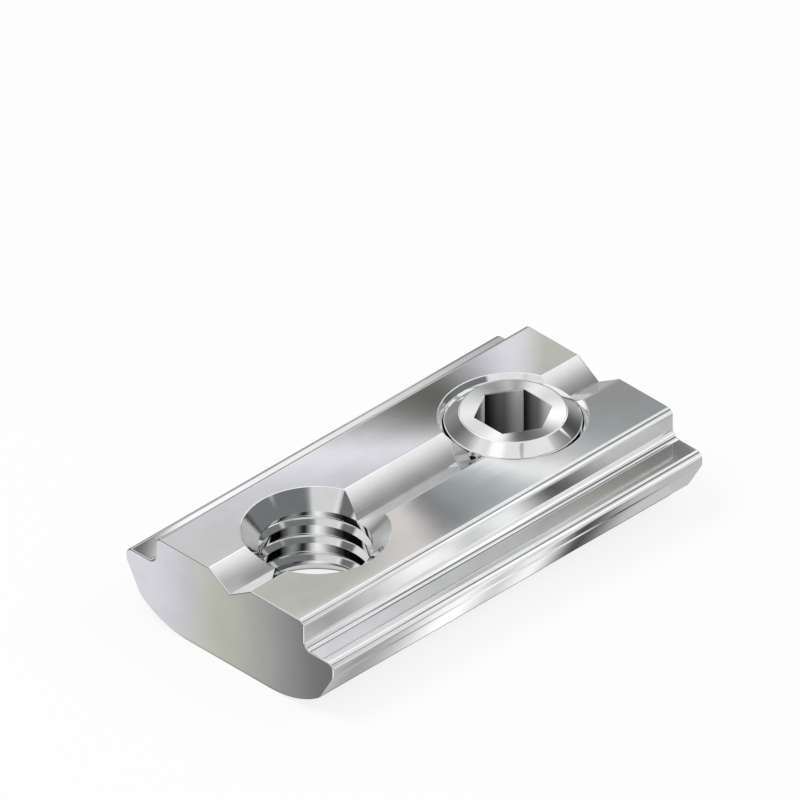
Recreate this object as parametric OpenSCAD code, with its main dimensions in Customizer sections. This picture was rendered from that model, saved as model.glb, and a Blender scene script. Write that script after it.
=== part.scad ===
// T-slot nut with two threaded holes, one of them closed by a hexagon socket set screw.
// X runs along the nut, Y across it and Z up. The origin is the middle of the floor.

/* [Nut] */
// Length of the nut along the slot
length = 30; // [26:0.5:60]
// Height from the floor to the top of the neck
height = 6; // [5.5:0.1:9]
// Distance from each end of the nut to the nearest hole
hole_inset = 7; // [6:0.25:8]

/* [Neck] */
// Width of the neck that stands between the slot's lips
neck_width = 12; // [11:0.1:13]
// Height of the neck above the flange
neck_height = 1.85; // [1.2:0.05:2.2]
// Radius along the neck's top edges
neck_rounding = 0.4; // [0.1:0.05:0.8]
// Radius in the corner between the neck and the flange
neck_fillet = 0.55; // [0.1:0.05:0.9]

/* [Flange] */
// Width of the flange that sits under the slot's lips
flange_width = 16.8; // [15.6:0.1:18]
// Radius along the flange's top edges
flange_rounding = 0.45; // [0.1:0.05:0.6]
// Height of the upright land at the flange's side
land_height = 0.85; // [0.65:0.05:1.2]
// Lean of the facet under the land, from upright
facet_angle = 30; // [20:1:36]
// Width of the flat floor
floor_width = 6.4; // [4:0.1:8]
// Radius of the belly that joins the floor to the facets
belly_radius = 6.9; // [6:0.1:9]

/* [Groove] */
// Width of the V groove along the top
groove_width = 3.36; // [2:0.02:4]
// Depth of the V groove
groove_depth = 1.03; // [0.4:0.01:1.3]

/* [Threads] */
// Outside diameter of the thread
thread_diameter = 8; // [7:0.1:8.4]
// Pitch of the thread
thread_pitch = 1.25; // [0.75:0.05:1.5]
// Rim of the countersinks in the top
top_sink_diameter = 8.7; // [8.5:0.05:9.4]
// Rim of the countersinks in the floor
floor_sink_diameter = 9.2; // [8.5:0.05:9.6]
// Gap all round between the set screw and its hole
screw_clearance = 0.05; // [0.02:0.01:0.15]

/* [Set screw] */
// Length of the set screw
screw_length = 6; // [5:0.25:10]
// Height of the set screw's head end above the top of the nut
screw_rise = 0.36; // [-0.8:0.02:1.5]
// Flat left inside the chamfer at the head end, as a diameter
crown_diameter = 6.28; // [5.4:0.02:6.8]
// Angle of the chamfer at the head end, from level
crown_angle = 32; // [20:1:45]
// Flat at the point, as a diameter
point_diameter = 5.5; // [4:0.1:6.4]
// Width of the hexagon socket across its flats
socket_width = 4; // [3:0.1:4.6]
// Depth of the hexagon socket's walls
socket_depth = 3.5; // [2:0.1:4.4]
// Full angle of the cone that the drill leaves under the socket
drill_angle = 118; // [90:2:140]

/* [Hidden] */
$fn = 96;
// Reach of a cutting shape past the face that it cuts
past = 1;
flange_top = height - neck_height;
land_bottom = flange_top - land_height;
hole_offset = length / 2 - hole_inset;
thread_core_diameter = thread_diameter - 1.0825 * thread_pitch;
screw_top = height + screw_rise;

// What lies between a square corner at the origin and its rounding.
module corner(radius) {
    difference() {
        translate([-past, -past]) square(radius + past);
        translate([radius, radius]) circle(radius);
    }
}

module both_sides() {
    children();
    mirror([1, 0]) children();
}

// The block that the section is cut from: upright lands above leaning facets.
module blank_outline() {
    facet_foot = flange_width / 2 - land_bottom * tan(facet_angle);
    polygon([
        [flange_width / 2, height],
        [flange_width / 2, land_bottom],
        [facet_foot, 0],
        [-facet_foot, 0],
        [-flange_width / 2, land_bottom],
        [-flange_width / 2, height],
    ]);
}

// The step at the side of the neck, with the fillet at its root.
module step_outline() {
    translate([neck_width / 2, flange_top]) difference() {
        square([flange_width, neck_height + past]);
        corner(neck_fillet);
    }
}

module groove_outline() {
    half_width = groove_width / 2 * (groove_depth + past) / groove_depth;
    polygon([[0, height - groove_depth], [half_width, height + past], [-half_width, height + past]]);
}

// The nut's section, with Y to the right and Z up.
module section() {
    difference() {
        blank_outline();
        both_sides() {
            step_outline();
            translate([neck_width / 2, height]) rotate(180) corner(neck_rounding);
            translate([flange_width / 2, flange_top]) rotate(180) corner(flange_rounding);
            translate([floor_width / 2 + belly_radius, 0]) rotate(90) corner(belly_radius, $fn = 180);
        }
        groove_outline();
    }
}

// A right-angled countersink that opens upwards, with its rim at the origin.
module countersink(diameter) {
    translate([0, 0, -diameter / 2]) cylinder(h = diameter / 2 + past, r1 = 0, r2 = diameter / 2 + past);
}

module hole(diameter) {
    translate([0, 0, -past]) cylinder(h = height + 2 * past, d = diameter);
    translate([0, 0, height]) countersink(top_sink_diameter);
    mirror([0, 0, 1]) countersink(floor_sink_diameter);
}

module nut_body() {
    color("lightsteelblue") difference() {
        rotate([90, 0, 90]) linear_extrude(length, center = true) section();
        translate([-hole_offset, 0, 0]) hole(thread_core_diameter);
        translate([hole_offset, 0, 0]) hole(thread_diameter + 2 * screw_clearance);
    }
}

// Half outline of the set screw, with its axis upright and its head end at the origin.
module screw_outline() {
    radius = thread_diameter / 2;
    crown_drop = (thread_diameter - crown_diameter) / 2 * tan(crown_angle);
    point_chamfer = (thread_diameter - point_diameter) / 2;
    polygon([
        [0, 0],
        [crown_diameter / 2, 0],
        [radius, -crown_drop],
        [radius, point_chamfer - screw_length],
        [point_diameter / 2, -screw_length],
        [0, -screw_length],
    ]);
}

// The hexagon socket, with two of its corners across the nut.
module socket() {
    drill_depth = socket_width / 2 / tan(drill_angle / 2);
    translate([0, 0, -socket_depth]) rotate(30) {
        cylinder(h = socket_depth + past, d = socket_width / cos(30), $fn = 6);
        translate([0, 0, -drill_depth]) cylinder(h = drill_depth, r1 = 0, d2 = socket_width);
    }
}

module set_screw() {
    color("gainsboro") translate([hole_offset, 0, screw_top]) difference() {
        rotate_extrude() screw_outline();
        socket();
    }
}

nut_body();
set_screw();
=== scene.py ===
"""T-slot nut with a set screw: its looks, the studio and the camera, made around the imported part."""

import math

import bmesh
import bpy
from bpy.props import FloatProperty, FloatVectorProperty, IntProperty, PointerProperty
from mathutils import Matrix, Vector


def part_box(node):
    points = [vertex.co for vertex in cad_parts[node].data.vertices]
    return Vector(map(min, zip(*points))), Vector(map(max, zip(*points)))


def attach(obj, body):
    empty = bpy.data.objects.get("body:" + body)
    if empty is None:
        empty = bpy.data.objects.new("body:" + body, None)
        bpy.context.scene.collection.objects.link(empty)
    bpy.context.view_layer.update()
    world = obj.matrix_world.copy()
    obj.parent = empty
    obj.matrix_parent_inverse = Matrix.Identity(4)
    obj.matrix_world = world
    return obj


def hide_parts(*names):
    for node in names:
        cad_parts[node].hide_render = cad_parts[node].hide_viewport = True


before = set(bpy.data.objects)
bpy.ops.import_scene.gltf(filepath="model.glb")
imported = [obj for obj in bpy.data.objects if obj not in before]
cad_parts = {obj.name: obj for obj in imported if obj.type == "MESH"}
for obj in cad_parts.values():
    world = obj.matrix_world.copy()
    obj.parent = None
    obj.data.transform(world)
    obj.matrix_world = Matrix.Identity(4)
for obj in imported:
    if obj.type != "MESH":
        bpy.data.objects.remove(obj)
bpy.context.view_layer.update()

bl_info = {
    "name": "T-slot nut",
    "version": (1, 0, 0),
    "blender": (4, 5, 0),
    "location": "View3D > Sidebar > T-slot nut",
    "description": "A T-slot nut with an open thread and a hexagon socket set screw",
    "category": "Object",
}

NUT_LOW, NUT_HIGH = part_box("nut_body")
SCREW_LOW, SCREW_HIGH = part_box("set_screw")
# The pieces are modelled in millimetres and shrunk to metres at the end,
# because the edit tools work to a fixed distance.
MM = 1000


def length(name, description, default):
    """A size in metres for the sidebar."""
    return FloatProperty(name=name, description=description, default=default, unit="LENGTH")


def angle_size(name, description, degrees):
    """An angle for the sidebar."""
    return FloatProperty(
        name=name, description=description, default=math.radians(degrees), subtype="ANGLE"
    )


def tint(name, description, default):
    """A colour for the sidebar."""
    return FloatVectorProperty(
        name=name, description=description, default=default, subtype="COLOR", min=0, max=1
    )


class NutSizes(bpy.types.PropertyGroup):
    """Sizes of the nut's body."""

    length: length("Length", "Length along the slot", NUT_HIGH.x - NUT_LOW.x)
    height: length("Height", "Height from the floor to the top", NUT_HIGH.z)
    neck_width: length("Neck width", "Width of the neck between the slot's lips", 0.012)
    neck_height: length("Neck height", "Height of the neck above the flange", 0.00185)
    neck_rounding: length("Neck rounding", "Radius along the neck's top edges", 0.0004)
    neck_fillet: length("Neck fillet", "Radius between the neck and the flange", 0.00055)
    flange_width: length("Flange width", "Width under the slot's lips", NUT_HIGH.y - NUT_LOW.y)
    flange_rounding: length("Flange rounding", "Radius along the flange's top edges", 0.00045)
    land_height: length("Land height", "Height of the upright land on the flange's side", 0.00085)
    facet_angle: angle_size("Facet angle", "Lean of the facet under the land, from upright", 30)
    floor_width: length("Floor width", "Width of the flat floor", 0.0064)
    belly_radius: length("Belly radius", "Radius from the floor up to the facets", 0.0069)
    groove_width: length("Groove width", "Width of the V groove along the top", 0.00336)
    groove_depth: length("Groove depth", "Depth of the V groove", 0.00103)
    hole_offset: length("Hole offset", "Distance from the middle to each hole", 0.008)
    edge_break: length("Edge break", "Width of the small rounding on sharp edges", 0.00008)


class ThreadSizes(bpy.types.PropertyGroup):
    """Sizes of the threads and the countersinks."""

    pitch: length("Pitch", "Rise of the thread in one turn", 0.00125)
    outer: length("Outside radius", "Radius at the screw's crests", 0.004)
    core: length("Core radius", "Radius at the nut's crests", 0.0033234)
    clearance: length("Clearance", "Gap between the screw's crests and the nut's roots", 0.00005)
    top_sink: length("Top countersink", "Rim radius of the countersinks in the top", 0.00435)
    floor_sink: length("Floor countersink", "Rim radius of the countersinks in the floor", 0.0046)
    crest_height: length(
        "Crest height", "Height of a crest's upper edge in the open hole, at its far side", 0.004
    )
    open_land: length("Open crest", "Height of the flat on the crests in the open hole", 0.00056)
    steps: IntProperty(name="Steps", description="Steps in one turn of a thread", default=72)


class ScrewSizes(bpy.types.PropertyGroup):
    """Sizes of the set screw."""

    top: length("Top", "Height of the head end above the floor", SCREW_HIGH.z)
    length: length("Length", "Length of the set screw", SCREW_HIGH.z - SCREW_LOW.z)
    crown: length("Crown radius", "Radius of the flat at the head end", 0.00314)
    crown_angle: angle_size("Crown angle", "Angle of the chamfer at the head end, from level", 32)
    point: length("Point radius", "Radius of the flat point", 0.00275)
    socket_width: length("Socket width", "Width of the hexagon across its flats", 0.004)
    socket_depth: length("Socket depth", "Depth of the hexagon's walls", 0.0035)
    drill_angle: angle_size("Drill angle", "Full angle of the cone under the socket", 118)


class Finishes(bpy.types.PropertyGroup):
    """Colours of the steel and the studio."""

    nut: tint("Nut", "Zinc plate on the nut", (0.8, 0.803, 0.808))
    screw: tint("Set screw", "Zinc plate on the set screw", (0.8, 0.803, 0.812))
    floor: tint("Floor", "Studio floor", (0.9, 0.9, 0.9))


# Shaping helpers. All lengths are in millimetres until finish_piece.


def begin(name, add, **options):
    """Adds a primitive with nothing else selected, and opens it in edit mode."""
    bpy.ops.object.select_all(action="DESELECT")
    add(**options)
    piece = bpy.context.object
    piece.name = name
    piece.data.name = name
    bpy.ops.object.transform_apply(location=True, rotation=True, scale=True)
    bpy.ops.object.mode_set(mode="EDIT")
    bpy.ops.mesh.select_all(action="SELECT")
    return piece


def activate(piece):
    """Makes a piece the only selected and active object, in object mode."""
    if bpy.context.mode != "OBJECT":
        bpy.ops.object.mode_set(mode="OBJECT")
    bpy.ops.object.select_all(action="DESELECT")
    piece.select_set(True)
    bpy.context.view_layer.objects.active = piece


def edit(piece):
    """Opens a piece in edit mode with all of it selected."""
    activate(piece)
    bpy.ops.object.mode_set(mode="EDIT")
    bpy.ops.mesh.select_all(action="SELECT")


def pick(kind, test):
    """Selects the edges or faces of the open piece for which the test is true."""
    bpy.ops.mesh.select_mode(type=kind)
    bpy.ops.mesh.select_all(action="DESELECT")
    mesh = bpy.context.edit_object.data
    shape = bmesh.from_edit_mesh(mesh)
    for element in shape.edges if kind == "EDGE" else shape.faces:
        if test(element):
            element.select_set(True)
    bmesh.update_edit_mesh(mesh)


def lying_at(near=1e-4, **places):
    """A test for edges that lie at these coordinates, given as x, y or z."""

    def test(edge):
        return all(
            abs(getattr(end.co, axis) - place) < near
            for end in edge.verts
            for axis, place in places.items()
        )

    return test


def use(piece, kind, **settings):
    """Adds a modifier and applies it."""
    activate(piece)
    modifier = piece.modifiers.new(kind.title(), kind)
    for name, value in settings.items():
        setattr(modifier, name, value)
    bpy.ops.object.modifier_apply(modifier=modifier.name)


def cut(piece, tool, operation="DIFFERENCE", fine=False):
    """Cuts a piece with a tool that isn't needed afterwards. A thread is a fine tool."""
    use(piece, "BOOLEAN", object=tool, operation=operation, solver="EXACT", use_self=fine)
    bpy.data.objects.remove(tool, do_unlink=True)
    face_outwards(piece, merge=0.0005)


def face_outwards(piece, merge=0.0001):
    """Merges doubles and points the faces outwards."""
    edit(piece)
    bpy.ops.mesh.remove_doubles(threshold=merge)
    bpy.ops.mesh.normals_make_consistent(inside=False)
    bpy.ops.object.mode_set(mode="OBJECT")


def turned(name, outline, x=0.0, sides=144):
    """A closed turned shape from its (radius, height) outline, lowest point first."""
    radius, height = outline[0]
    piece = begin(
        name,
        bpy.ops.mesh.primitive_circle_add,
        vertices=sides,
        radius=radius,
        fill_type="NGON",
        location=(x, 0, height),
    )
    for next_radius, next_height in outline[1:]:
        rise = {"value": (0, 0, next_height - height)}
        bpy.ops.mesh.extrude_region_move(TRANSFORM_OT_translate=rise)
        growth = next_radius / radius
        bpy.ops.transform.resize(value=(growth, growth, 1), center_override=(x, 0, next_height))
        radius, height = next_radius, next_height
    face_outwards(piece)
    return piece


def coil(name, stations, pitch, bottom, turns, steps):
    """A closed right-hand coil round the Z axis. Its section has a half height at each radius."""
    radius, half = stations[0]
    piece = begin(name, bpy.ops.mesh.primitive_plane_add, size=1, rotation=(math.pi / 2, 0, 0))
    # The plane becomes the section between the first two stations.
    next_radius, next_half = stations[1]
    bpy.ops.transform.resize(value=(abs(next_radius - radius), 1, 2 * half), center_override=(0, 0, 0))
    bpy.ops.transform.translate(value=((radius + next_radius) / 2, 0, bottom))
    inner = min(radius, next_radius)
    pick("EDGE", lying_at(x=next_radius))
    bpy.ops.transform.resize(value=(1, 1, next_half / half), center_override=(inner, 0, bottom))
    # The other stations are pulled out from it, one by one.
    for (r0, h0), (r1, h1) in zip(stations[1:], stations[2:]):
        bpy.ops.mesh.extrude_region_move(TRANSFORM_OT_translate={"value": (r1 - r0, 0, 0)})
        bpy.ops.transform.resize(value=(1, 1, h1 / h0), center_override=(r1, 0, bottom))
    bpy.ops.mesh.select_all(action="SELECT")
    bpy.ops.mesh.dissolve_faces()
    bpy.ops.mesh.delete(type="ONLY_FACE")
    use(
        piece,
        "SCREW",
        axis="Z",
        angle=2 * math.pi,
        screw_offset=pitch,
        iterations=turns,
        steps=steps,
        render_steps=steps,
        use_smooth_shade=False,
    )
    edit(piece)
    bpy.ops.mesh.fill_holes(sides=0)
    face_outwards(piece)
    return piece


class Pen:
    """Draws the side of the nut by pulling one long edge along the section."""

    def __init__(self, y, z):
        self.y = y
        self.z = z

    def line(self, y, z):
        """Pulls the edge straight to a new place."""
        move = {"value": (0, y - self.y, z - self.z)}
        bpy.ops.mesh.extrude_edges_move(TRANSFORM_OT_translate=move)
        self.y, self.z = y, z

    def arc(self, centre_y, centre_z, degrees, steps):
        """Pulls the edge round a centre, anticlockwise seen from the +X end."""
        turn = math.radians(degrees)
        # Without a window the spin goes the other way round.
        bpy.ops.mesh.spin(
            steps=steps,
            angle=-turn,
            center=(0, centre_y, centre_z),
            axis=(1, 0, 0),
            use_auto_merge=False,
        )
        y, z = self.y - centre_y, self.z - centre_z
        self.y = centre_y + y * math.cos(turn) - z * math.sin(turn)
        self.z = centre_z + y * math.sin(turn) + z * math.cos(turn)


def finish_piece(piece, body, node, material):
    """Smooths a piece, shrinks it to metres and fits it to the frame."""
    activate(piece)
    bpy.ops.object.shade_smooth_by_angle(angle=math.radians(31))
    use(piece, "WEIGHTED_NORMAL", keep_sharp=True, weight=80)
    edit(piece)
    bpy.ops.transform.resize(value=(1 / MM,) * 3, center_override=(0, 0, 0))
    activate(piece)
    piece.data.materials.clear()
    piece.data.materials.append(material)
    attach(piece, body)
    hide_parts(node)


# Shader helpers


class Level:
    """A socket in a node tree that can be used in sums."""

    def __init__(self, tree, socket):
        self.tree = tree
        self.socket = socket

    def __add__(self, other):
        return maths("ADD", self, other)

    def __radd__(self, other):
        return maths("ADD", other, self)

    def __sub__(self, other):
        return maths("SUBTRACT", self, other)

    def __rsub__(self, other):
        return maths("SUBTRACT", other, self)

    def __mul__(self, other):
        return maths("MULTIPLY", self, other)

    def __rmul__(self, other):
        return maths("MULTIPLY", other, self)

    def __truediv__(self, other):
        return maths("DIVIDE", self, other)

    def __rtruediv__(self, other):
        return maths("DIVIDE", other, self)


def add_node(tree, kind, settings=None, sockets=None, out=0):
    """Adds a node, sets it up, then fills or links its sockets."""
    node = tree.nodes.new(kind)
    for name, value in (settings or {}).items():
        if name == "stops":
            ramp = node.color_ramp
            while len(ramp.elements) < len(value):
                ramp.elements.new(1)
            for stop, (place, shade) in zip(ramp.elements, value):
                stop.position = place
                stop.color = shade
        elif name == "ease":
            node.color_ramp.interpolation = value
        else:
            setattr(node, name, value)
    for name, value in (sockets or {}).items():
        if isinstance(value, Level):
            tree.links.new(value.socket, node.inputs[name])
        else:
            node.inputs[name].default_value = value
    return Level(tree, node.outputs[out]) if node.outputs else None


def maths(operation, *terms):
    """A Math node on levels and numbers."""
    tree = next(term.tree for term in terms if isinstance(term, Level))
    return add_node(tree, "ShaderNodeMath", {"operation": operation}, dict(enumerate(terms)))


def object_place(tree):
    """The place of a point in its object's own frame, in metres."""
    return add_node(tree, "ShaderNodeTexCoord", out=3)


def lengths(place, axes="XYZ"):
    """The named coordinates of a place, in millimetres."""
    return [add_node(place.tree, "ShaderNodeSeparateXYZ", None, {0: place}, axis) * MM for axis in axes]


def radius_of(x, y):
    """The distance from the middle."""
    return maths("SQRT", x * x + y * y)


def angle_of(x, y):
    """The angle round the middle, anticlockwise from X."""
    return maths("ARCTAN2", y, x)


def rising(value, low, high, start=0.0, end=1.0):
    """Runs smoothly from start to end as the value runs from low to high."""
    return add_node(
        value.tree,
        "ShaderNodeMapRange",
        {"interpolation_type": "SMOOTHSTEP"},
        {0: value, 1: low, 2: high, 3: start, 4: end},
    )


def falling(value, low, high):
    """Runs smoothly from 1 to 0 as the value runs from low to high."""
    return rising(value, low, high, 1.0, 0.0)


def within(value, low, high, soft=0.3):
    """1 between two lengths and 0 outside them."""
    return rising(value, low - soft, low + soft) * falling(value, high - soft, high + soft)


def mixed(share, first, second):
    """The first colour where the share is 0 and the second where it is 1."""
    return add_node(
        share.tree, "ShaderNodeMix", {"data_type": "RGBA"}, {0: share, 6: first, 7: second}, 2
    )


def noise(place, scale, detail, roughness):
    """A cloudy pattern, from 0 to 1."""
    return add_node(
        place.tree,
        "ShaderNodeTexNoise",
        None,
        {"Vector": place, "Scale": scale, "Detail": detail, "Roughness": roughness},
    )


def grey(value):
    """An opaque grey."""
    return (value, value, value, 1)


def new_material(name):
    """An empty material and its node tree."""
    material = bpy.data.materials.new(name)
    material.use_nodes = True
    material.node_tree.nodes.clear()
    return material, material.node_tree


# The steel

# How deep the marks in the plate look, in metres
MARK_DEPTH = 0.00001


def zinc_steel(name, colour, marks, detail):
    """Bright zinc plate over drawn or turned steel.

    The marks' scale stretches them along the piece. The detail is a function that changes the
    shader's sockets where this piece alone differs.
    """
    material, tree = new_material(name)
    place = object_place(tree)
    stretched = add_node(tree, "ShaderNodeMapping", None, {"Vector": place, "Scale": marks})
    lines = noise(stretched, 1.0, 3.0, 0.6)
    grain = noise(place, 14000.0, 2.0, 0.5)
    cloud = noise(place, 420.0, 3.0, 0.55)
    light = (*[min(1, c * 1.02) for c in colour], 1)
    dark = (*[c * 0.97 for c in colour], 1)
    relief = {"Strength": 0.03, "Distance": MARK_DEPTH, "Height": 0.5 * lines + 0.5 * grain}
    sockets = {
        "Base Color": mixed(rising(cloud, 0.35, 0.65), dark, light),
        "Metallic": 1.0,
        "Roughness": 0.045 + 0.02 * lines + 0.015 * cloud,
        "Specular IOR Level": 0.25,
        "Normal": add_node(tree, "ShaderNodeBump", None, relief),
    }
    detail(place, sockets)
    steel = add_node(tree, "ShaderNodeBsdfPrincipled", None, sockets)
    add_node(tree, "ShaderNodeOutputMaterial", None, {"Surface": steel})
    return material


def turned_rings_and_painted_socket_shade(place, sockets, axis, socket_radius):
    """Turned rings round the set screw's axis, and dull walls in its hexagon with painted shade and a
    painted highlight.
    """
    tree = place.tree
    centred = add_node(tree, "ShaderNodeMapping", None, {"Vector": place, "Location": (-axis, 0, 0)})
    rings = add_node(
        tree,
        "ShaderNodeTexWave",
        {"wave_type": "RINGS", "rings_direction": "Z", "wave_profile": "SIN"},
        {"Vector": centred, "Scale": 3000.0, "Distortion": 0.6, "Detail": 2.0},
    )
    relief = {"Strength": 0.01, "Distance": MARK_DEPTH, "Height": rings, "Normal": sockets["Normal"]}
    sockets["Normal"] = add_node(tree, "ShaderNodeBump", None, relief)
    # The walls lie under the head end. The flat point at the other end is as bright as the rest.
    x, y, z = lengths(centred)
    top, point = MM * SCREW_HIGH.z, MM * SCREW_LOW.z
    inside = falling(radius_of(x, y), socket_radius, socket_radius + 0.02)
    inside = inside * falling(z, top - 0.05, top - 0.01) * rising(z, point + 0.1, point + 0.3)
    # Painted light and shade: each wall spans a sixth of a turn, and is painted lightest beside its one
    # corner and darkest beside the other.
    sixths = angle_of(x, y) * (3 / math.pi) + 6.5
    walls = add_node(
        tree,
        "ShaderNodeValToRGB",
        {"ease": "EASE", "stops": [(0.0, grey(1)), (0.55, grey(0.2)), (1.0, grey(0.0))]},
        {0: maths("FRACT", sixths)},
    )
    sockets["Base Color"] = mixed(inside, sockets["Base Color"], walls)
    sockets["Roughness"] = sockets["Roughness"] + inside * 0.4
    sockets["Metallic"] = 1.0 - inside


def dulled(place, sockets, hole_offset, rim):
    """A little dullness at the sides of the open countersink, and in the groove beside the screw."""
    x, y, z = lengths(place)
    top = MM * NUT_HIGH.z
    below = falling(z, top - 0.08, top - 0.02) * rising(z, top - 1.3, top - 1.1)
    open_x, screw_x = x + hole_offset, x - hole_offset
    around = radius_of(open_x, y)
    aside = maths("ABSOLUTE", (open_x - y) * math.sqrt(0.5))
    sides = falling(around, rim - 0.05, rim + 0.1) * rising(aside / around, 0.93, 0.98)
    around = radius_of(screw_x, y)
    beside = rising(around, rim - 0.1, rim) * falling(around, rim + 0.35, rim + 0.95)
    near_wall = falling(y, 0.0, 0.1)
    sockets["Roughness"] = sockets["Roughness"] + below * (sides + beside * near_wall) * 0.3


# Threads

# The side of a hole that faces the camera, as an angle round it in degrees
FAR_SIDE = 45
# Half the height of the groove in the set screw's hole, in pitches
SCREW_GROOVE = 0.385


def thread_stations(threads, kind):
    """The (radius, half height) stations of the tool that cuts a thread.

    They run from the groove's root past the crest's edge, which is chamfered a little, into the open.
    """
    pitch, outer, core = (MM * size for size in (threads.pitch, threads.outer, threads.core))
    clearance = MM * threads.clearance
    slope = math.tan(math.radians(30))
    edge = 0.05
    if kind == "open hole":
        # Broad crests with steep flanks, as the open hole shows.
        half = (pitch - MM * threads.open_land) / 2
        return [
            (core + half, 0.02),
            (core + edge, half - edge),
            (core - 0.03, half + 0.03),
            (core - 0.12, half + 0.035),
        ]
    if kind == "screw hole":
        root = outer + clearance
        half = pitch * SCREW_GROOVE
        return [
            (root, half - (root - core) * slope),
            (core + edge, half - edge * slope),
            (core - 0.04, half + 0.05),
            (core - 0.12, half + 0.055),
        ]
    root = core - 1.8 * clearance
    half = pitch * 0.45
    return [
        (root, half - (outer - root) * slope),
        (outer - edge, half - edge * slope),
        (outer + 0.03, half + 0.03),
        (outer + 0.1, half + 0.035),
    ]


def cut_thread(piece, threads, kind, x, middle, top, limit):
    """Cuts a thread into a piece round the upright axis at x.

    The middle is the height of one groove's middle at the far side, and the limit is the
    (radius, height) outline that the coil is kept inside, so that it stops short of the cones.
    """
    pitch = MM * threads.pitch
    start = middle - pitch * FAR_SIDE / 360
    bottom = start - pitch * math.ceil((start + pitch) / pitch)
    turns = math.ceil((top - bottom) / pitch) + 1
    tool = coil("thread_tool", thread_stations(threads, kind), pitch, bottom, turns, threads.steps)
    cut(tool, turned("thread_limit", limit), "INTERSECT")
    edit(tool)
    bpy.ops.transform.translate(value=(x, 0, 0))
    activate(tool)
    cut(piece, tool, fine=True)


# The nut


def make_bar(nut):
    """The bar that the nut is cut from: a section pulled round one side, mirrored and capped."""
    half_length = MM * nut.length / 2
    top = MM * nut.height
    neck, neck_radius, fillet = MM * nut.neck_width / 2, MM * nut.neck_rounding, MM * nut.neck_fillet
    flange, flange_radius = MM * nut.flange_width / 2, MM * nut.flange_rounding
    flange_top = top - MM * nut.neck_height
    land_bottom = flange_top - MM * nut.land_height
    floor = MM * nut.floor_width / 2
    belly = MM * nut.belly_radius
    groove = MM * nut.groove_width / 2
    edge_break = MM * nut.edge_break

    # Where the belly's arc meets the leaning facet.
    facet = nut.facet_angle
    away = (flange - floor) * math.cos(facet) + (belly - land_bottom) * math.sin(facet)
    belly_turn = math.pi / 2 - facet - math.acos(away / belly)

    body = begin("nut_body_dressed", bpy.ops.mesh.primitive_plane_add, size=1)
    bpy.ops.transform.resize(value=(2 * half_length, floor, 1), center_override=(0, 0, 0))
    bpy.ops.transform.translate(value=(0, floor / 2, 0))
    pick("EDGE", lying_at(y=floor))
    pen = Pen(floor, 0)
    pen.arc(floor, belly, math.degrees(belly_turn), 16)
    facet_foot = (pen.y, pen.z)
    pen.line(flange, land_bottom)
    pen.line(flange, flange_top - flange_radius)
    pen.arc(flange - flange_radius, flange_top - flange_radius, 90, 10)
    pen.line(neck + fillet, flange_top)
    pen.arc(neck + fillet, flange_top + fillet, -90, 10)
    pen.line(neck, top - neck_radius)
    pen.arc(neck - neck_radius, top - neck_radius, 90, 10)
    pen.line(groove, top)
    pen.line(0, top - MM * nut.groove_depth)

    # The edges along the nut that aren't sharp on the real one.
    for y, z, width, segments in (
        (*facet_foot, 0.2, 4),
        (flange, land_bottom, 0.14, 4),
        (groove, top, edge_break, 3),
    ):
        pick("EDGE", lying_at(1e-3, y=y, z=z))
        bpy.ops.mesh.bevel(offset=width, segments=segments, affect="EDGES")
    use(body, "MIRROR", use_axis=(False, True, False), merge_threshold=0.0001)
    face_outwards(body)
    for end in (-half_length, half_length):
        edit(body)
        pick("EDGE", lying_at(x=end))
        bpy.ops.mesh.edge_face_add()
        pick("EDGE", lying_at(x=end))
        bpy.ops.mesh.bevel(offset=edge_break, segments=3, affect="EDGES", clamp_overlap=False)
    face_outwards(body)
    return body


def arc_outline(radius, height, size, start, end, steps):
    """(radius, height) points round an arc, with its angles in degrees from level."""
    made = []
    for i in range(steps + 1):
        angle = math.radians(start + (end - start) * i / steps)
        made.append((radius + size * math.cos(angle), height + size * math.sin(angle)))
    return made


def make_nut(context):
    """Models the nut: its bar, drilled, countersunk and threaded."""
    scene = context.scene
    nut, threads = scene.slot_nut, scene.slot_nut_threads
    top = MM * nut.height
    open_x, screw_x = -MM * nut.hole_offset, MM * nut.hole_offset
    pitch, core, outer = MM * threads.pitch, MM * threads.core, MM * threads.outer
    top_rim, floor_rim = MM * threads.top_sink, MM * threads.floor_sink
    # The bore's ends, where the countersinks begin
    mouth, foot = top - (top_rim - core), floor_rim - core
    body = make_bar(nut)

    for x in (open_x, screw_x):
        # The rim of the upper countersink is rounded a little where it runs out onto the top.
        lip = 0.1
        outline = [(floor_rim + 1, -1), (core, foot), (core, mouth)]
        outline += arc_outline(top_rim + lip * 0.414, top - lip, lip, 135, 98, 5)
        radius, height = outline[-1]
        outline.append((radius + 1, height + math.tan(math.radians(8))))
        cut(body, turned("hole_tool", outline, x))

    # The coils run out before the countersinks, so their cones stay clean.
    gap, run_out, reach = 0.05, 0.35, outer + 0.6
    limit = [
        (core - 1, foot + gap),
        (core, foot + gap),
        (reach, foot + run_out),
        (reach, mouth - run_out),
        (core, mouth - gap),
        (core - 1, mouth - gap),
    ]
    open_middle = MM * threads.crest_height + (pitch - MM * threads.open_land) / 2
    cut_thread(body, threads, "open hole", open_x, open_middle, top, limit)
    cut_thread(body, threads, "screw hole", screw_x, pitch * SCREW_GROOVE, top, limit)
    return body


# The set screw


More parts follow.
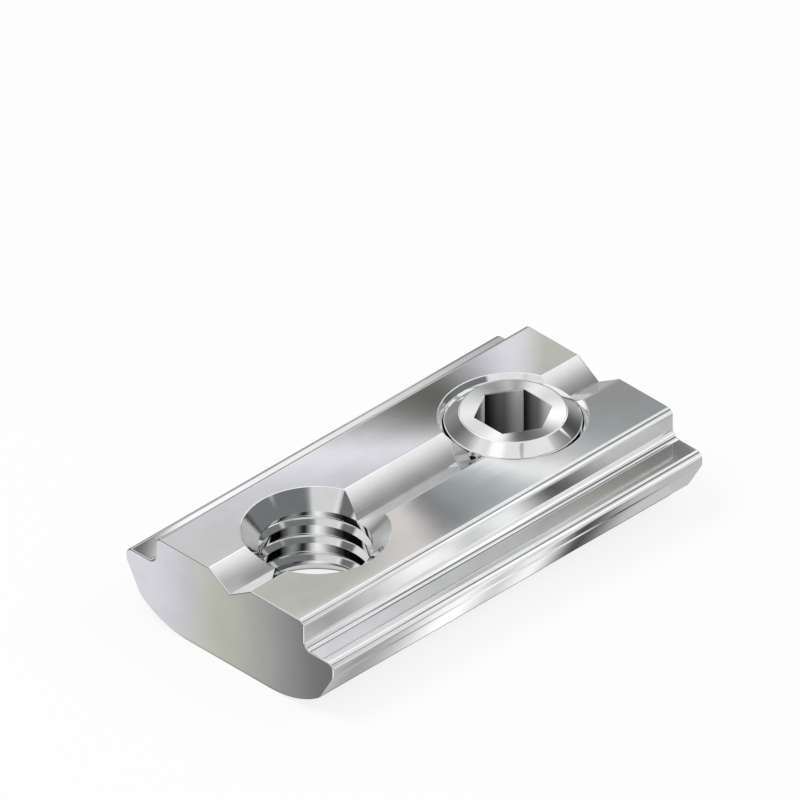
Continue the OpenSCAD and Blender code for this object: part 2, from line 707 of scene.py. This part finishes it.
def make_screw(context):
    """Models the set screw: turned, threaded and broached."""
    scene = context.scene
    screw, threads = scene.slot_nut_screw, scene.slot_nut_threads
    x = MM * scene.slot_nut.hole_offset
    top, bottom = MM * screw.top, MM * (screw.top - screw.length)
    outer, crown, point = MM * threads.outer, MM * screw.crown, MM * screw.point
    # The heights at which the chamfers end
    shoulder = top - (outer - crown) * math.tan(screw.crown_angle)
    heel = bottom + outer - point
    middle, ease = 0.02, 0.05
    outline = [
        (middle, bottom),
        (point - ease, bottom),
        (point + ease * 0.7, bottom + ease * 0.7),
        (outer - ease, heel - ease),
        (outer, heel + ease),
        (outer, shoulder - ease),
        (outer - ease, shoulder + ease * 0.4),
        (crown + ease * 0.8, top - ease * 0.5),
        (crown - ease, top),
        (crown - 1.6 * ease, top),
        (middle, top),
    ]
    piece = turned("set_screw_dressed", outline, x)

    # The groove in the screw lies half a pitch from the groove in its hole.
    inner, reach = 2.2, outer + 1
    limit = [
        (inner, bottom - 1),
        (reach, bottom - 1),
        (reach, shoulder + 0.3),
        (outer, shoulder - 0.08),
        (inner, top - 2),
    ]
    pitch = MM * threads.pitch
    cut_thread(piece, threads, "screw", x, pitch * SCREW_GROOVE + pitch / 2, top, limit)

    # The hexagon, with a narrow lead-in that the broach leaves round its mouth. The tool reaches
    # past the head end.
    across, depth = MM * screw.socket_width, MM * screw.socket_depth
    corner = across / 2 / math.cos(math.radians(30))
    past, lead = 1, 0.05
    socket = begin(
        "socket_tool",
        bpy.ops.mesh.primitive_cylinder_add,
        vertices=6,
        radius=corner,
        depth=depth + past,
        location=(x, 0, top - depth + (depth + past) / 2),
    )
    pick("FACE", lambda face: face.normal.z > 0.9)
    bpy.ops.transform.translate(value=(0, 0, -past - lead))
    bpy.ops.mesh.extrude_region_move(TRANSFORM_OT_translate={"value": (0, 0, 4 * lead)})
    growth = (corner + 4 * lead) / corner
    bpy.ops.transform.resize(value=(growth, growth, 1), center_override=(x, 0, top))
    activate(socket)
    cut(piece, socket)

    # The cone that the drill left under the hexagon.
    drill = across / 2 - 0.02
    cone = drill / math.tan(screw.drill_angle / 2)
    outline = [(0.01, top - depth - cone), (drill, top - depth), (drill, top - depth + 0.5)]
    cut(piece, turned("drill_tool", outline, x))
    return piece


class OBJECT_OT_slot_nut_body(bpy.types.Operator):
    """Models the nut's body with its two threads"""

    bl_idname = "object.slot_nut_body"
    bl_label = "Nut body"

    def execute(self, context):
        scene = context.scene
        holes = MM * scene.slot_nut.hole_offset, MM * scene.slot_nut_threads.top_sink
        steel = zinc_steel(
            "zinc_drawn",
            scene.slot_nut_finishes.nut,
            (300, 9000, 9000),
            lambda place, sockets: dulled(place, sockets, *holes),
        )
        finish_piece(make_nut(context), "nut", "nut_body", steel)
        return {"FINISHED"}


class OBJECT_OT_slot_nut_screw(bpy.types.Operator):
    """Models the hexagon socket set screw"""

    bl_idname = "object.slot_nut_screw"
    bl_label = "Set screw"

    def execute(self, context):
        scene = context.scene
        axis = scene.slot_nut.hole_offset
        corner = MM * scene.slot_nut_screw.socket_width / 2 / math.cos(math.radians(30))
        # The set screw's material paints shade and a highlight on the walls of its hexagon socket.
        steel = zinc_steel(
            "zinc_turned",
            scene.slot_nut_finishes.screw,
            (3000, 3000, 3000),
            lambda place, sockets: turned_rings_and_painted_socket_shade(place, sockets, axis, corner),
        )
        finish_piece(make_screw(context), "screw", "set_screw", steel)
        return {"FINISHED"}


class SCENE_OT_slot_nut_studio(bpy.types.Operator):
    """Sets up the floor, the lamps, the world and the camera"""

    bl_idname = "scene.slot_nut_studio"
    bl_label = "Studio"

    def execute(self, context):
        scene = context.scene
        scene.view_settings.view_transform = "Standard"
        make_floor(scene)
        make_tent()
        make_floor_card(scene.slot_nut)
        make_world(scene)
        make_lamps()
        make_camera(scene)
        return {"FINISHED"}


# The studio

# The floor lies this far below the nut's floor, and the card's rim this far above it, in metres.
HAIR = 0.00002
# From the nut towards the camera: along the nut and down at the isometric angle
VIEW = Vector((-1, -1, 1)).normalized()
TENT_RADIUS = 0.036
LILAC = (1.0, 0.99, 1.05)
OLIVE = (1.0, 1.0, 0.9)
TEAL = (0.94, 1.01, 1.02)
ROSE = (1.05, 1.0, 0.98)
PLAIN = (1, 1, 1)
# A ramp's colours reach 1 at most, so the cloths are painted darker and glow by this much.
GLOW = 1.6
# How much of the light the zinc plate mirrors
MIRRORED = 0.8


def make_floor(scene):
    """A wide pale floor that is white to the camera and keeps the shadow."""
    floor = begin("studio_floor", bpy.ops.mesh.primitive_plane_add, size=4)
    bpy.ops.transform.translate(value=(0, 0, -HAIR))
    activate(floor)
    material, tree = new_material("studio_floor")
    colour = (*scene.slot_nut_finishes.floor, 1)
    paint = add_node(tree, "ShaderNodeBsdfDiffuse", None, {"Color": colour})
    white = add_node(tree, "ShaderNodeEmission", None, {"Color": grey(1), "Strength": 1.0})
    camera, glossy, transmission = (
        add_node(tree, "ShaderNodeLightPath", out=f"Is {ray} Ray")
        for ray in ("Camera", "Glossy", "Transmission")
    )
    seen = (camera + glossy + transmission) * 0.85
    both = add_node(tree, "ShaderNodeMixShader", None, {0: seen, 1: paint, 2: white})
    add_node(tree, "ShaderNodeOutputMaterial", None, {"Surface": both})
    floor.data.materials.append(material)


def cloth(tone, tint=PLAIN):
    """The paint that steel mirrors as this tone, from 0 to 255."""
    return (*[(tone / 255) ** 2.2 / MIRRORED / GLOW * c for c in tint], 1)


def ramp_along(value, *stops):
    """A colour ramp over lengths or degrees, from (place, tone, tint) stops."""
    low, high = stops[0][0], stops[-1][0]
    steps = [((stop[0] - low) / (high - low), cloth(*stop[1:])) for stop in stops]
    share = (value - low) / (high - low)
    return add_node(value.tree, "ShaderNodeValToRGB", {"ease": "CARDINAL", "stops": steps}, {0: share})


def light_up(thing, material, shade):
    """Makes a thing of the stage glow, in reflections alone. It neither lights nor shades the floor."""
    tree = material.node_tree
    glow = add_node(tree, "ShaderNodeEmission", None, {"Color": shade, "Strength": GLOW})
    add_node(tree, "ShaderNodeOutputMaterial", None, {"Surface": glow})
    thing.data.materials.append(material)
    thing.visible_camera = False
    thing.visible_diffuse = False
    thing.visible_transmission = False
    thing.visible_shadow = False


# The normals of the faces in which the camera sees the tent
UP = (0, 0, 1)
FRONT = (0, -1, 0)
NECK_ROUNDING = (0, -0.3827, 0.9239)
FAR_WALL = (0, -0.5225, 0.8526)
NEAR_WALL = (0, 0.5225, 0.8526)
# In millimetres: the heights of the nut's top and the flange's top, the distance of the holes' axes
# from the middle, and how far along the nut a panel shows.
TOP = 6
FLANGE_TOP = 4.15
OPEN_AXIS, SCREW_AXIS = -8, 8
REACH = 17


def mirrored(*normals):
    """The direction of a ray from the camera after it has met faces with these normals."""
    ray = -VIEW
    for normal in normals:
        normal = Vector(normal).normalized()
        ray = ray - 2 * ray.dot(normal) * normal
    return ray


def hung_at(spot, normal):
    """Where the camera sees the tent mirrored in a face at a spot, given in millimetres."""
    ray = mirrored(normal)
    spot = Vector(spot) / MM
    along = spot.dot(ray)
    return spot + ray * (math.sqrt(along**2 - spot.length_squared + TENT_RADIUS**2) - along)


def shown_on(place, height, *normals):
    """The place on a level plane from which the mirrored ray reaches this point of the tent."""
    ray = mirrored(*normals)
    x, y, z = lengths(place)
    rise = z - height
    return x - rise * (ray.x / ray.z), y - rise * (ray.y / ray.z)


def distance_to(place, start, end):
    """The distance from a place to the line between two points."""

    def vectors(operation, *terms, out=0):
        return add_node(
            place.tree, "ShaderNodeVectorMath", {"operation": operation}, dict(enumerate(terms)), out
        )

    line = end - start
    offset = vectors("SUBTRACT", place, start)
    along = vectors("DOT_PRODUCT", offset, line / line.length_squared, out=1)
    share = add_node(place.tree, "ShaderNodeClamp", None, {0: along, 1: 0.0, 2: 1.0})
    scaled = {0: line, "Scale": share}
    nearest = add_node(place.tree, "ShaderNodeVectorMath", {"operation": "SCALE"}, scaled)
    return vectors("DISTANCE", offset, nearest, out=1)


def round_spot(centre, radius, height, slope, angle):
    """A spot on a turned face and its normal, at an angle in degrees round the axis.

    The face slopes outwards from level by an angle in degrees, or inwards if it is negative.
    """
    c, s = math.cos(math.radians(angle)), math.sin(math.radians(angle))
    tilt = math.radians(slope)
    spot = (centre + radius * c, radius * s, height)
    return spot, (c * math.sin(tilt), s * math.sin(tilt), math.cos(tilt))


# Turned faces: the axis, a radius, its height and the slope
OPEN_SINK = (OPEN_AXIS, 3.85, 5.5, -45)
SCREW_SINK = (SCREW_AXIS, 4.2, 5.85, -45)
CHAMFER = (SCREW_AXIS, 3.57, 6.1, 32)
# Cloths in the tent that turned faces mirror: the face, the angles round it that the cloth runs
# through, its full and its outermost reach in millimetres, and its tones by height.
CLOTHS = (
    (OPEN_SINK, (64, 60), 3, 14, ((0, 111, TEAL),)),
    (OPEN_SINK, (116, 104, 90, 76, 62), 2.5, 6.5, ((0, 111, TEAL),)),
    (OPEN_SINK, (44, 32), 2, 5, ((0, 206),)),
    (OPEN_SINK, (20, 12), 1, 4, ((0, 105),)),
    (SCREW_SINK, (40, 62), 1.5, 4, ((0, 225),)),
    (SCREW_SINK, (-20, -38, -54), 1.5, 4, ((0, 252),)),
    (
        CHAMFER,
        (185, 157, 130, 118),
        2,
        4.5,
        ((8, 132), (14, 136), (20, 120), (26, 112), (31, 165), (34, 225)),
    ),
    (
        CHAMFER,
        (265, 293, 320, 335),
        1.5,
        3.5,
        ((7, 163), (12, 125), (17, 80), (21, 110), (26, 170), (30, 222)),
    ),
    (CHAMFER, (222, 240, 257), 2, 4, ((0, 225),)),
    (CHAMFER, (212, 208), 1, 5, ((0, 256),)),
)
# Stops are (place, tone, tint). These run from one end of the nut to the other: the streaks in the
# neck's side, the land and the facet, and the shades of the flange's top.
SIDE_STREAKS = (
    (-15, 175),
    (-12.3, 156),
    (-8.5, 208),
    (-4.8, 250),
    (-1.6, 204),
    (1.8, 234),
    (4.3, 128),
    (6.1, 94),
    (9.3, 178),
    (15, 186),
)
FLANGE_SHADES = ((-15, 238, LILAC), (-6, 206), (0, 188), (8, 158, OLIVE), (15, 122))
# The top beyond the groove and before it, along the nut
FAR_STREAKS = (
    (-15, 194),
    (-5, 202, LILAC),
    (-1, 222, LILAC),
    (1.5, 186),
    (3.5, 138),
    (6, 98, OLIVE),
    (8, 128),
    (10, 188, LILAC),
    (12, 214, LILAC),
    (15, 182, OLIVE),
)
NEAR_STREAKS = (
    (-15, 180, OLIVE),
    (-8, 176, OLIVE),
    (-4, 198, ROSE),
    (-2.2, 138),
    (-0.5, 142, TEAL),
    (3, 184, TEAL),
    (4.5, 234),
    (6.3, 192),
    (8.8, 160, TEAL),
    (15, 143),
)
# The set screw's crown, in degrees round it: bright, with a dark wedge in front and a weaker one
# behind.
CROWN_STREAKS = (
    (-180, 215),
    (-152, 254),
    (-141, 190),
    (-131, 104),
    (-104, 106),
    (-90, 152),
    (-62, 258),
    (-40, 252),
    (-10, 212),
    (15, 236),
    (28, 210),
    (40, 150),
    (50, 182),
    (70, 145),
    (90, 182),
    (135, 236),
    (165, 215),
    (180, 215),
)
# The crests in the open hole, in degrees round the focus of their stripes
CREST_STRIPES = (
    (-90, 12),
    (-76, 35),
    (-58, 98),
    (-42, 130),
    (-32, 100),
    (-24, 45),
    (-17, 85),
    (-9, 165),
    (-2, 218),
    (6, 226),
    (20, 163),
    (36, 90),
    (52, 40),
    (70, 22),
    (90, 15),
)
# The end face, across the nut
END_SHADES = (
    (-8, 110, ROSE),
    (-6, 126),
    (-3.7, 150),
    (-1, 172, OLIVE),
    (1.6, 184, OLIVE),
    (4.4, 200, LILAC),
    (8, 214, LILAC),
)


def tent_cloth(place):
    """The tent's own cloth: pale in front, greyer on the left and dark low down behind the nut."""
    x, y, z = lengths(place)
    before = ramp_along(x, (-36, 190), (2, 186), (8, 215), (14, 248), (20, 264), (30, 248))
    over = ramp_along(z, (0, 235), (16, 250), (24, 248), (30, 240), (36, 215))
    front = mixed(rising(y, -14, -8), before, over)
    front = mixed(falling(z, 7, 15), front, cloth(218))
    beyond_end = ramp_along(z, (0, 160), (12, 190), (24, 226), (36, 215))
    front = mixed(falling(x, -14, -6), front, beyond_end)
    left = ramp_along(z, (0, 105), (13, 112), (16, 150), (19, 200), (22, 213), (36, 222))
    far = ramp_along(z, (0, 60), (8, 130), (13, 165), (16, 180), (19, 215), (23, 250), (36, 255))
    right = rising(x, -4, 2)
    shade = mixed((1 - right) * rising(y, 6, 14), front, left)
    return mixed(right * rising(y, 3, 9), shade, far)


def hang_cloths(shade, place):
    """Adds the cloths that the turned faces mirror."""
    (height,) = lengths(place, "Z")
    for face, angles, core, reach, stops in CLOTHS:
        spots = [hung_at(*round_spot(*face, angle)) for angle in angles]
        away = distance_to(place, spots[0], spots[1])
        for start, end in zip(spots[1:], spots[2:]):
            away = maths("MINIMUM", away, distance_to(place, start, end))
        tone = ramp_along(height, *stops) if len(stops) > 1 else cloth(*stops[0][1:])
        shade = mixed(falling(away * MM, core, reach), shade, tone)
    return shade


def show_in_top(shade, place):
    """Adds what the nut's top and the set screw's crown mirror: streaks that fan out."""
    x, y = shown_on(place, TOP, UP)
    # On the groove's far side they spread from the point (7, -2), and on its near side from (0, 3.6).
    far = ramp_along(7 + (x - 7) * 6 / maths("MAXIMUM", y + 2, 1), *FAR_STREAKS)
    near = ramp_along(x * 7.2 / maths("MAXIMUM", 3.6 - y, 1), *NEAR_STREAKS)
    top = mixed(rising(y, -0.5, 0.5), near, far)
    # The outer edge of the flange sees past the neck.
    outer = ramp_along(x - (TOP - FLANGE_TOP), *FLANGE_SHADES)
    top = mixed(falling(y, -5.9, -5.6), top, outer)
    past_end = rising(x, 15.2, 15.6) * falling(y, -3.5, -3)
    top = mixed(past_end, top, cloth(112))
    # The crown stands this much proud, so its rays are carried down to the top's level.
    rise = 0.36
    crown_x, crown_y = x - (SCREW_AXIS - rise), y + rise
    crown = ramp_along(angle_of(crown_x, crown_y) * (180 / math.pi), *CROWN_STREAKS)
    top = mixed(falling(radius_of(crown_x, crown_y), 3.5, 3.9), top, crown)
    return mixed(within(x, -REACH, REACH) * within(y, -7, 7), shade, top)


def show_in_side(shade, place):
    """Adds what the neck's side and the flange's top mirror, by way of each other."""
    x, y = shown_on(place, FLANGE_TOP, FRONT, UP)
    neck = ramp_along(x - 1, *[(at, tone * 1.15 - 8) for at, tone in SIDE_STREAKS])
    side = mixed(rising(y, -6.15, -5.85), neck, ramp_along(x, *FLANGE_SHADES))
    shade = mixed(within(x, -REACH, REACH) * within(y, -8.5, -4), shade, side)
    # The rounding at the top of the neck
    x, y = shown_on(place, TOP, NECK_ROUNDING)
    rounding = ramp_along(x, (-15, 220), (-5, 262), (3, 264), (15, 252))
    return mixed(within(x, -REACH, REACH) * within(y, -8, -4.6, 0.4), shade, rounding)


def show_in_groove(shade, place):
    """Adds what the groove's walls mirror."""
    x, y = shown_on(place, TOP, FAR_WALL)
    wall = ramp_along(y, (-0.7, 92), (-0.2, 118), (0.7, 184), (1.5, 236), (2.6, 245))
    # The left end of it also shows in the set screw's chamfer, so it isn't as dark.
    wall = mixed(falling(x, -13.6, -12.6) * falling(y, 0.1, 0.8), wall, cloth(170))
    shade = mixed(within(x, -REACH, REACH) * within(y, -0.5, 2.4, 0.2), shade, wall)
    # The near wall is seen by way of the far one.
    x, y = shown_on(place, TOP, NEAR_WALL, FAR_WALL)
    wall = ramp_along(x, (-15, 230), (-5, 218), (-2, 192), (4, 176), (15, 170))
    return mixed(within(x, -REACH, REACH) * within(y, -1.5, 1.5), shade, wall)


def make_tent():
    """A small light tent round the nut, with the cloths and panels that its steel mirrors."""
    tent = begin(
        "studio_tent",
        bpy.ops.mesh.primitive_uv_sphere_add,
        radius=TENT_RADIUS,
        segments=96,
        ring_count=48,
    )
    bpy.ops.mesh.bisect(plane_co=(0, 0, -0.001), plane_no=(0, 0, 1), clear_inner=True)
    activate(tent)
    bpy.ops.object.shade_smooth()
    material, tree = new_material("tent_cloth")
    place = object_place(tree)
    shade = tent_cloth(place)
    for add in (hang_cloths, show_in_top, show_in_side, show_in_groove):
        shade = add(shade, place)
    light_up(tent, material, shade)


def crest_stripes(x, y):
    """The fan of stripes under the open hole, which shows in the crests of its thread."""
    back, left = (x + y) / math.sqrt(2), (y - x) / math.sqrt(2)
    focus = 2
    turn = angle_of(focus - back, left) * (180 / math.pi)
    stripes = ramp_along(turn, *CREST_STRIPES)
    stripes = mixed(falling(radius_of(back - focus, left), 0.25, 0.6), stripes, cloth(85))
    # The countersink under it is pale at the far side.
    return mixed(rising(back, 3.3, 3.7), stripes, cloth(185))


def make_floor_card(nut):
    """A card on the floor round the nut that only mirrors show. It shades the upright faces."""
    card = begin(
        "floor_card",
        bpy.ops.mesh.primitive_circle_add,
        vertices=96,
        radius=TENT_RADIUS,
        fill_type="NGON",
    )
    bpy.ops.mesh.inset(thickness=0.01)
    bpy.ops.transform.translate(value=(0, 0, HAIR))
    pick("FACE", lambda face: True)
    bpy.ops.transform.translate(value=(0, 0, HAIR))
    activate(card)
    material, tree = new_material("floor_card")
    x, y = lengths(object_place(tree), "XY")
    half_length, half_width = MM * nut.length / 2, MM * nut.flange_width / 2
    out_x = maths("ABSOLUTE", x) - half_length
    out_y = maths("ABSOLUTE", y) - half_width
    # Beside an end face the shade runs across the nut.
    end = ramp_along(y - out_x, *END_SHADES)
    # Under the flange the facet mirrors the card, and beside it the land does. The streaks run
    # along the nut, and each face sees them shifted in its own way.
    facet_shift = 4.435 + out_y * 2.31
    beside = rising(out_y, 0.5, 2)
    side = ramp_along(x - (facet_shift * (1 - beside) + out_y * beside), *SIDE_STREAKS)
    # A painted shadow: it is nearly black under the belly, where the nut shades the floor.
    under = mixed(rising(out_y, -1.49, -1.45), grey(0.012), side)
    shade = mixed(rising(out_x, -0.2, 0.2), under, end)
    # The corners in front of the end face light its upright edges, and the far end is plain.
    corner = rising(out_x, 0, 0.2) * falling(y, -8.8, -8.5)
    shade = mixed(corner, shade, cloth(250))
    past_end = rising(x, half_length - 0.5, half_length - 0.3)
    shade = mixed(past_end * falling(y, -4, -3), shade, cloth(182))
    behind = maths("MAXIMUM", rising(y, 12.3, 12.8), rising(x, 21, 22))
    shade = mixed(behind, shade, cloth(150))
    # This spot shows in the far end of the groove.
    shade = mixed(falling(radius_of(x - 27, y - 16), 2, 3), shade, cloth(165))
    hole_x = x + MM * nut.hole_offset
    shade = mixed(falling(radius_of(hole_x, y), 4.4, 4.6), shade, crest_stripes(hole_x, y))
    light_up(card, material, shade)


def make_world(scene):
    """A plain pale sky."""
    world = bpy.data.worlds.new("studio_world")
    scene.world = world
    world.use_nodes = True
    tree = world.node_tree
    tree.nodes.clear()
    light = add_node(tree, "ShaderNodeBackground", None, {"Color": grey(0.9), "Strength": 0.6})
    white = add_node(tree, "ShaderNodeBackground", None, {"Color": grey(1), "Strength": 1.0})
    camera_ray = add_node(tree, "ShaderNodeLightPath", out="Is Camera Ray")
    both = add_node(tree, "ShaderNodeMixShader", None, {0: camera_ray, 1: light, 2: white})
    add_node(tree, "ShaderNodeOutputWorld", None, {"Surface": both})


def make_lamps():
    """Two soft lamps for the floor and its shadow."""
    for name, where, power in (
        ("key_lamp", (-0.12, 0.06, 0.25), 0.35),
        ("fill_lamp", (0.15, -0.12, 0.2), 0.15),
    ):
        bpy.ops.object.light_add(type="AREA", location=where)
        lamp = bpy.context.object
        lamp.name = name
        lamp.data.name = name
        lamp.data.shape = "DISK"
        lamp.data.size = 0.16
        lamp.data.energy = power
        lamp.rotation_mode = "QUATERNION"
        lamp.rotation_quaternion = Vector(where).to_track_quat("Z", "Y")
        lamp.visible_glossy = False


def make_camera(scene):
    """An orthographic camera that looks down along the nut at the isometric angle."""
    aim = Vector((0.001127, 0.002303, 0.009429))
    distance = 0.2
    bpy.ops.object.camera_add(location=aim + VIEW * distance)
    camera = bpy.context.object
    camera.name = "studio_camera"
    camera.rotation_mode = "QUATERNION"
    camera.rotation_quaternion = VIEW.to_track_quat("Z", "Y")
    camera.data.type = "ORTHO"
    camera.data.ortho_scale = 0.0459
    camera.data.clip_start = 0.001
    camera.data.clip_end = 10
    scene.camera = camera


class VIEW3D_PT_slot_nut(bpy.types.Panel):
    """Lists the steps and the sizes in the sidebar"""

    bl_label = "T-slot nut"
    bl_space_type = "VIEW_3D"
    bl_region_type = "UI"
    bl_category = "T-slot nut"

    def draw(self, context):
        for step in STEPS:
            self.layout.operator(step.bl_idname)
        for name in GROUPS:
            group = getattr(context.scene, name)
            box = self.layout.box()
            for key in group.__annotations__:
                box.prop(group, key)


GROUPS = {
    "slot_nut": NutSizes,
    "slot_nut_threads": ThreadSizes,
    "slot_nut_screw": ScrewSizes,
    "slot_nut_finishes": Finishes,
}
STEPS = (OBJECT_OT_slot_nut_body, OBJECT_OT_slot_nut_screw, SCENE_OT_slot_nut_studio)
CLASSES = (*GROUPS.values(), *STEPS, VIEW3D_PT_slot_nut)


def register():
    for entry in CLASSES:
        bpy.utils.register_class(entry)
    for name, group in GROUPS.items():
        setattr(bpy.types.Scene, name, PointerProperty(type=group))


def unregister():
    for name in GROUPS:
        delattr(bpy.types.Scene, name)
    for entry in reversed(CLASSES):
        bpy.utils.unregister_class(entry)


def main():
    """Makes every piece and the studio."""
    register()
    bpy.ops.object.slot_nut_body()
    bpy.ops.object.slot_nut_screw()
    bpy.ops.scene.slot_nut_studio()


if __name__ == "__main__":
    main()
